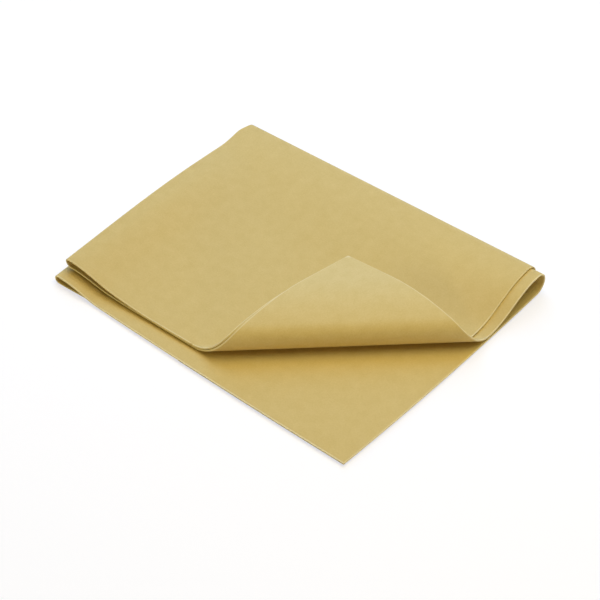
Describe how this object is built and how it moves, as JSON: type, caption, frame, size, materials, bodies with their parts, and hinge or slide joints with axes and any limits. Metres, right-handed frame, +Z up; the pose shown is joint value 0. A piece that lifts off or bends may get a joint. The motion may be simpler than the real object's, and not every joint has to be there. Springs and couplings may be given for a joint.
{
  "type": "synthetic cleaning cloth",
  "caption": "Soft tan synthetic chamois cleaning cloth, folded in half at the side and again at the back, with one front corner rolled over; the back fold and the corner open.",
  "frame": {"origin": "under the middle of the folded cloth, on the surface that it lies on", "axes": "+X along the front edge towards the open right side, +Y towards the back fold, +Z up from the surface"},
  "size_m": [0.2766, 0.2202, 0.031],
  "materials": {
    "cloth": "matte suede-like nap"
  },
  "bodies": {
    "bottom_half": {"outer_bottom_panel": "cloth", "inner_bottom_panel": "cloth", "bottom_side_fold": "cloth"},
    "back_bend_1": {"outer_back_strip_1": "cloth", "inner_back_strip_1": "cloth", "side_fold_strip_1": "cloth"},
    "back_bend_2": {"outer_back_strip_2": "cloth", "inner_back_strip_2": "cloth", "side_fold_strip_2": "cloth"},
    "top_half": {"outer_top_panel": "cloth", "inner_top_panel": "cloth", "top_side_fold": "cloth", "outer_corner_root": "cloth", "inner_corner_root": "cloth"},
    "corner_bend_1": {"outer_corner_strip_1": "cloth", "inner_corner_strip_1": "cloth"},
    "corner_bend_2": {"outer_corner_strip_2": "cloth", "inner_corner_strip_2": "cloth"},
    "corner_bend_3": {"outer_corner_strip_3": "cloth", "inner_corner_strip_3": "cloth"},
    "turned_corner": {"outer_corner_flap": "cloth", "inner_corner_flap": "cloth"}
  },
  "joints": [
    {"name": "back_fold_1", "type": "hinge", "parent": "bottom_half", "child": "back_bend_1", "pos_m": [-0.00112, 0.10629, 0.00101], "axis": [-1, 0.0095, -0.0025], "range_deg": [0, 57]},
    {"name": "back_fold_2", "type": "hinge", "parent": "back_bend_1", "child": "back_bend_2", "pos_m": [-0.00112, 0.11006, 0.00755], "axis": [-0.9998, 0, -0.019], "range_deg": [0, 57]},
    {"name": "back_fold_3", "type": "hinge", "parent": "back_bend_2", "child": "top_half", "pos_m": [-0.00112, 0.10629, 0.01409], "axis": [-0.9993, 0.0095, -0.0354], "range_deg": [0, 57]},
    {"name": "corner_roll_1", "type": "hinge", "parent": "top_half", "child": "corner_bend_1", "pos_m": [0.07183, -0.02539, 0.00488], "axis": [0.7337, 0.6794, 0], "range_deg": [0, 53.33]},
    {"name": "corner_roll_2", "type": "hinge", "parent": "corner_bend_1", "child": "corner_bend_2", "pos_m": [0.0762, -0.03011, 0.01352], "axis": [0.7337, 0.6794, 0], "range_deg": [0, 53.33]},
    {"name": "corner_roll_3", "type": "hinge", "parent": "corner_bend_2", "child": "corner_bend_3", "pos_m": [0.07411, -0.02784, 0.02383], "axis": [0.7337, 0.6794, 0], "range_deg": [0, 53.33]},
    {"name": "corner_flap_bend", "type": "hinge", "parent": "corner_bend_3", "child": "turned_corner", "pos_m": [0.05771, -0.01014, 0.03101], "axis": [0.7337, 0.6794, 0], "range_deg": [0, 32.13]}
  ],
  "couplings": [
    {"joint": "back_fold_2", "follows": "back_fold_1", "ratio": 1},
    {"joint": "back_fold_3", "follows": "back_fold_1", "ratio": 1},
    {"joint": "corner_roll_2", "follows": "corner_roll_1", "ratio": 1},
    {"joint": "corner_roll_3", "follows": "corner_roll_1", "ratio": 1},
    {"joint": "corner_flap_bend", "follows": "corner_roll_1", "ratio": 0.6024}
  ]
}
